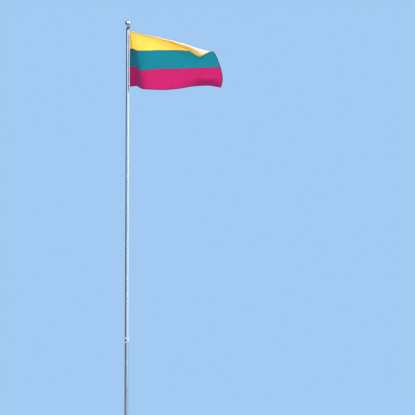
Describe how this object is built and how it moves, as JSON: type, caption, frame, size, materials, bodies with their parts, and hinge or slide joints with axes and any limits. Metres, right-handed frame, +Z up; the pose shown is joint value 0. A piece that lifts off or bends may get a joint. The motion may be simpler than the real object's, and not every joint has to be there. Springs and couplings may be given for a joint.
{
  "type": "garden flagpole with a flag",
  "caption": "Jointed aluminium garden flagpole with a ball finial, a rope and pulley, a cleat, and a striped flag that hoists and swings.",
  "frame": {"origin": "centre of the foot's flat face, at ground level", "axes": "+Z up along the pole; the flag streams along +X; the side seen in the picture faces -Y"},
  "size_m": [1.6992, 0.2439, 7.187],
  "materials": {
    "tube_aluminium": "satin",
    "connector_aluminium": "satin",
    "black_plastic": "matte",
    "guard_steel": "satin",
    "wheel_plastic": "matte",
    "pin_steel": "satin",
    "finial_chrome": "polished",
    "white_rope": "matte",
    "cleat_aluminium": "satin",
    "white_webbing": "matte",
    "yellow_cloth": "matte",
    "green_cloth": "matte",
    "red_cloth": "matte"
  },
  "bodies": {
    "pole": {"foot_plug": "black_plastic", "lower_section": "tube_aluminium", "second_section": "tube_aluminium", "third_section": "tube_aluminium", "top_section": "tube_aluminium", "lower_connector": "connector_aluminium", "middle_connector": "connector_aluminium", "upper_connector": "connector_aluminium", "truck_cap": "black_plastic", "pulley_guard": "guard_steel", "wheel_pin": "pin_steel", "finial_collar": "finial_chrome", "finial_stem": "finial_chrome", "finial_ball": "finial_chrome", "halyard": "white_rope", "cleat": "cleat_aluminium", "cleat_turns": "white_rope", "upper_pole_turn": "white_rope", "lower_pole_turn": "white_rope"},
    "pulley": {"pulley_wheel": "wheel_plastic"},
    "hoist_gear": {"upper_knot": "white_rope", "lower_knot": "white_rope"},
    "flag": {"flag_heading": "white_webbing", "flag_upper_stripe": "yellow_cloth", "flag_middle_stripe": "green_cloth", "flag_lower_stripe": "red_cloth"}
  },
  "joints": [
    {"name": "flag_hoist", "type": "slide", "parent": "pole", "child": "hoist_gear", "axis": [0.0002, 0.0012, 1], "range_m": [-4.15, 0]},
    {"name": "flag_swing", "type": "hinge", "parent": "hoist_gear", "child": "flag", "pos_m": [0.02742, -0.03861, 6.97], "axis": [0.0002, 0.0012, 1], "range_deg": [-75, 75]},
    {"name": "pulley_spin", "type": "hinge", "parent": "pole", "child": "pulley", "pos_m": [0.01723, -0.04265, 7.038], "axis": [0.3746, -0.9272, 0], "continuous": true}
  ]
}
